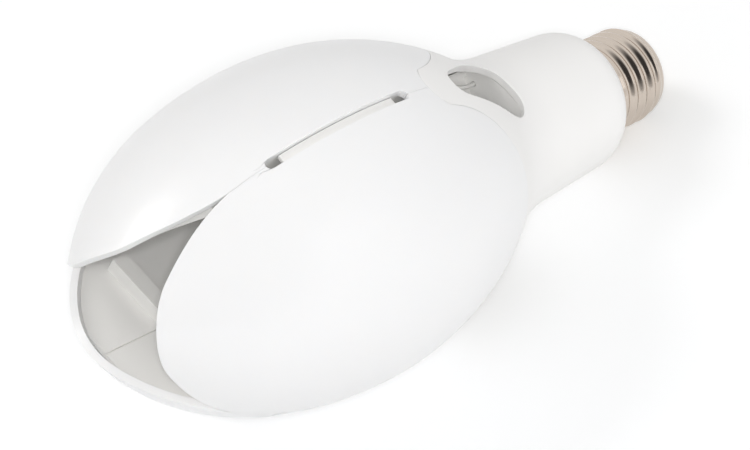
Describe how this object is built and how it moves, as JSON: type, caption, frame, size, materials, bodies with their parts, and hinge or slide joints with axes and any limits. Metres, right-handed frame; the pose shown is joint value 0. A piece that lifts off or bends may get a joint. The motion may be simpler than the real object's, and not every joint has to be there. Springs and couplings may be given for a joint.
{
  "type": "high power led bulb",
  "caption": "Egg-shaped high power LED bulb with a screw cap: milky petals stand round an open air chimney on a white neck with vents and slots for cooling.",
  "frame": {"origin": "middle of the centre contact's outer face", "axes": "+Z along the bulb's axis from the cap to the tip of the petals; one petal is centred on +X, and a seam with a vent lies on -X"},
  "size_m": [0.0884, 0.0884, 0.2042],
  "materials": {
    "cap_metal": "nickel-plated sheet, lightly rubbed",
    "cap_glass": "black insulator",
    "contact_brass": "soldered button",
    "white_housing": "satin white moulding",
    "milky_diffuser": "milky polycarbonate with a soft gloss",
    "tray_plastic": "white moulding, fine texture",
    "pot_plastic": "white flame-proof moulding",
    "heat_plate": "plain rolled sheet",
    "led_mask": "white solder mask on an aluminium core",
    "led_phosphor": "yellow phosphor lens",
    "circuit_board": "green board",
    "can_sleeve": "shrink sleeve",
    "winding_tape": "yellow tape",
    "ferrite": "ferrite drum",
    "chip_black": "moulded package",
    "film_red": "dipped case",
    "fuse_ceramic": "plain tube",
    "lead_red": "insulated wire",
    "lead_black": "insulated wire",
    "screw_steel": "zinc-plated"
  },
  "bodies": {
    "root": {"board_screws": "screw_steel", "cap_insulator": "cap_glass", "centre_contact": "contact_brass", "choke": "ferrite", "diffuser_a": "milky_diffuser", "diffuser_b": "milky_diffuser", "diffuser_c": "milky_diffuser", "driver_board": "circuit_board", "driver_pot": "pot_plastic", "film_capacitor": "film_red", "filter_capacitor": "can_sleeve", "fuse": "fuse_ceramic", "heat_plate_a": "heat_plate", "heat_plate_b": "heat_plate", "heat_plate_c": "heat_plate", "led_board_a": "led_mask", "led_board_b": "led_mask", "led_board_c": "led_mask", "led_chips_a": "led_phosphor", "led_chips_b": "led_phosphor", "led_chips_c": "led_phosphor", "led_leads_a": "lead_red", "led_leads_b": "lead_red", "led_leads_c": "lead_red", "live_lead": "lead_red", "neck_housing": "white_housing", "neutral_lead": "lead_black", "output_capacitor": "can_sleeve", "rectifier": "chip_black", "screw_shell": "cap_metal", "switch_chip": "chip_black", "transformer": "winding_tape", "tray_a": "tray_plastic", "tray_b": "tray_plastic", "tray_c": "tray_plastic", "tray_screws": "screw_steel"}
  },
  "joints": []
}
